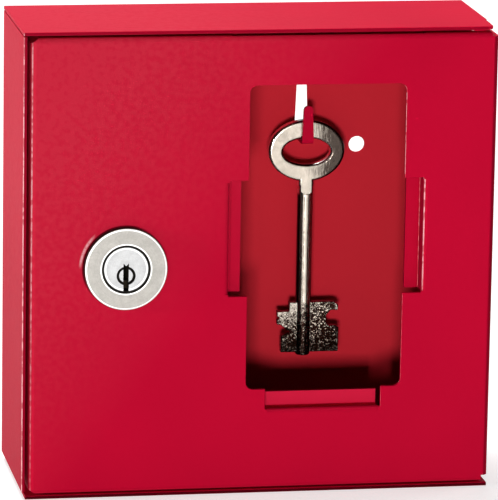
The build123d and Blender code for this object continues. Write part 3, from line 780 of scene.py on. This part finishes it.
# ---- Operators -------------------------------------------------------------------------------
def lock_axis():
    """Place of the lock's axis across and up, and the radius of its flange."""
    low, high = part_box("lock_housing")
    return ((low.x + high.x) / 2, (low.z + high.z) / 2), (high.x - low.x) / 2


class KEYBOX_OT_coat_sheet_metal(bpy.types.Operator):
    """Powder-coat the folded cabinet, its hook, the door and its hinges"""

    bl_idname = "keybox.coat_sheet_metal"
    bl_label = "Coat Sheet Metal"

    def execute(self, context):
        look = context.scene.keybox_finishes
        dress(["cabinet_shell"], cabinet_coat(look, *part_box("cabinet_shell")))
        dress(
            [
                "door_panel",
                "hinge_pin_upper",
                "hinge_pin_lower",
                "hinge_washer_upper",
                "hinge_washer_lower",
            ],
            door_coat(look, *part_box("door_panel"), *lock_axis()),
        )
        return {"FINISHED"}


class KEYBOX_OT_plate_hardware(bpy.types.Operator):
    """Finish the strike, the cam and what holds the lock"""

    bl_idname = "keybox.plate_hardware"
    bl_label = "Plate Hardware"

    def execute(self, context):
        look = context.scene.keybox_finishes
        zinc = plain_metal("Bright Zinc", look.zinc_colour, 2.2 * MM, 0.26, 0.16, 0.02 * MM)
        dress(
            [
                "strike_bracket",
                "lock_nut",
                "lock_tooth_washer",
                "stop_washer",
                "cam_lever",
                "cam_washer",
                "cam_screw",
            ],
            zinc,
        )
        return {"FINISHED"}


class KEYBOX_OT_fit_lock(bpy.types.Operator):
    """Finish the lock and add its thread and coil springs"""

    bl_idname = "keybox.fit_lock"
    bl_label = "Fit Lock"

    def execute(self, context):
        look = context.scene.keybox_finishes
        sizes = context.scene.keybox_fittings
        self.finish_faces(look, sizes)
        cut = plain_metal("Cut Nickel", look.lock_colour, 0.7 * MM, 0.25, 0.2, 0.01 * MM)
        # Painted shade: the wafers are nearly black, as they lie in shade in the keyway.
        dress(
            ["lock_wafers"],
            plain_metal("Stamped Brass", look.brass_shade_colour, 1.2 * MM, 0.2, 0.2, 0.01 * MM),
        )
        wire = plain_metal("Spring Wire", look.wire_colour, 0.6 * MM, 0.2, 0.15, 0.004 * MM)
        dress(["wafer_springs"], wire)
        self.cut_thread(sizes, cut)
        self.wind_springs(sizes, wire)
        return {"FINISHED"}

    def finish_faces(self, look, sizes):
        axis, flange = lock_axis()
        plug_low, plug_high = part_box("lock_plug")
        plug = (plug_high.x - plug_low.x) / 2
        mouth = plug + sizes.mouth_gap
        # Painted highlight bands on the flange and mouth rims, painted shade in the gap round the
        # plug.
        flange_rim = (flange - 0.6 * MM, flange - 0.2 * MM)
        mouth_rim = (mouth + 0.1 * MM, mouth + 0.4 * MM)
        housing_finish = satin_nickel(
            look,
            "Lock Nickel",
            axis,
            look.lock_colour,
            [flange_rim, mouth_rim],
            [(axis, plug, mouth + 0.02 * MM)],
            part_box("lock_housing")[1].y,
        )
        dress(["lock_housing"], housing_finish)
        keyhole = (axis[0], axis[1] - sizes.keyhole_drop)
        rim = sizes.keyhole_diameter / 2
        # Painted highlight band on the plug's face, painted shade round the plug and round the
        # keyhole.
        plug_finish = satin_nickel(
            look,
            "Plug Nickel",
            axis,
            look.plug_colour,
            [(plug - 0.75 * MM, plug - 0.4 * MM)],
            [
                (axis, plug - 0.22 * MM, plug + 0.1 * MM),
                (keyhole, rim - 0.6 * MM, rim + 0.15 * MM),
            ],
            plug_low.y + 0.5 * MM,
        )
        dress(["lock_plug"], plug_finish)

    def cut_thread(self, sizes, finish):
        thread = bmesh.new()
        clear_of_nut = 0.6 * MM
        clear_of_end = 1.2 * MM
        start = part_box("lock_nut")[1].y + clear_of_nut
        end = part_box("lock_housing")[1].y - clear_of_end
        thread_ridge(thread, lock_axis()[0], start, end, sizes)
        new_piece("barrel_thread", thread, finish, "door")

    def wind_springs(self, sizes, finish):
        low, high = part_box("wafer_springs")
        radius = (high.x - low.x) / 2
        wire = sizes.wire_radius
        coils = bmesh.new()
        for index in range(SPRING_COUNT):
            depth = low.y + radius + (high.y - low.y - 2 * radius) * index / (SPRING_COUNT - 1)
            coil_spring(coils, (low.x + radius, depth), low.z, high.z, radius - wire, wire)
        springs = new_piece("spring_coils", coils, finish, "plug")
        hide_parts("wafer_springs")


class KEYBOX_OT_hang_key(bpy.types.Operator):
    """Finish the emergency key on its hook"""

    bl_idname = "keybox.hang_key"
    bl_label = "Hang Key"

    def execute(self, context):
        low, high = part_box("emergency_key")
        look = context.scene.keybox_finishes
        axis_x = (low.x + high.x) / 2
        dress(["emergency_key"], key_nickel(look, axis_x, high.z - BOW_HEIGHT, low.z))
        return {"FINISHED"}


class KEYBOX_OT_glaze_door(bpy.types.Operator):
    """Give the pane its clear glass"""

    bl_idname = "keybox.glaze_door"
    bl_label = "Glaze Door"

    def execute(self, context):
        dress(["glass_pane"], float_glass(context.scene.keybox_finishes))
        return {"FINISHED"}


class KEYBOX_OT_set_studio(bpy.types.Operator):
    """Lay the floor, hang the lamps, light the room and place the camera"""

    bl_idname = "keybox.set_studio"
    bl_label = "Set Studio"

    def execute(self, context):
        scene = context.scene
        studio = scene.keybox_studio
        scene.view_settings.view_transform = "Standard"
        self.lay_floor(scene, studio)
        middle = (CAD_BOX[0] + CAD_BOX[1]) / 2
        for name, spot, size, power in SOFT_BOXES:
            soft_box(name, spot, middle, size, getattr(studio, power))
        self.light_room(scene, studio)
        self.place_camera(scene, studio)
        return {"FINISHED"}

    def lay_floor(self, scene, studio):
        ground = bmesh.new()
        bmesh.ops.create_grid(ground, x_segments=12, y_segments=12, size=studio.floor_reach)
        data = bpy.data.meshes.new("studio_floor")
        ground.to_mesh(data)
        ground.free()
        data.materials.append(floor_board(studio))
        floor = bpy.data.objects.new("studio_floor", data)
        floor.location.z = CAD_BOX[0].z
        scene.collection.objects.link(floor)

    def light_room(self, scene, studio):
        room = Finish(bpy.data.worlds.new("Studio Room"))
        strength = studio.room_light + (studio.room_tone - studio.room_light) * room.seen()
        light = room.node(
            "ShaderNodeBackground", {}, {"Color": opaque(WHITE), "Strength": strength}
        )
        scene.world = room.done(light, "ShaderNodeOutputWorld")

    def place_camera(self, scene, studio):
        data = bpy.data.cameras.new("Camera")
        data.lens = studio.lens
        data.sensor_width = 36.0
        data.clip_end = 50.0
        camera = bpy.data.objects.new("Camera", data)
        turn = Matrix.Rotation(studio.camera_turn, 4, "Z")
        tilt = Matrix.Rotation(studio.camera_tilt, 4, "X")
        roll = Matrix.Rotation(studio.camera_roll, 4, "Z")
        place = Matrix.Translation(studio.camera_place)
        camera.matrix_world = place @ turn @ tilt @ roll
        scene.collection.objects.link(camera)
        scene.camera = camera


OPERATORS = (
    KEYBOX_OT_coat_sheet_metal,
    KEYBOX_OT_plate_hardware,
    KEYBOX_OT_fit_lock,
    KEYBOX_OT_hang_key,
    KEYBOX_OT_glaze_door,
    KEYBOX_OT_set_studio,
)
SETTINGS = {
    "keybox_finishes": KeyBoxFinishes,
    "keybox_fittings": KeyBoxFittings,
    "keybox_studio": KeyBoxStudio,
}


class KEYBOX_PT_sidebar(bpy.types.Panel):
    """Key box panel in the sidebar"""

    bl_idname = "KEYBOX_PT_sidebar"
    bl_label = "Key Box"
    bl_space_type = "VIEW_3D"
    bl_region_type = "UI"
    bl_category = "Key Box"

    def draw(self, context):
        for group in SETTINGS:
            settings = getattr(context.scene, group)
            column = self.layout.column(align=True)
            for name in settings.__annotations__:
                column.prop(settings, name)
        for operator in OPERATORS:
            self.layout.operator(operator.bl_idname)


CLASSES = (*SETTINGS.values(), *OPERATORS, KEYBOX_PT_sidebar)


def register():
    for made in CLASSES:
        bpy.utils.register_class(made)
    for name, made in SETTINGS.items():
        setattr(bpy.types.Scene, name, PointerProperty(type=made))


def unregister():
    for name in SETTINGS:
        delattr(bpy.types.Scene, name)
    for made in reversed(CLASSES):
        bpy.utils.unregister_class(made)


def main():
    register()
    bpy.ops.keybox.coat_sheet_metal()
    bpy.ops.keybox.plate_hardware()
    bpy.ops.keybox.fit_lock()
    bpy.ops.keybox.hang_key()
    bpy.ops.keybox.glaze_door()
    bpy.ops.keybox.set_studio()


if __name__ == "__main__":
    main()
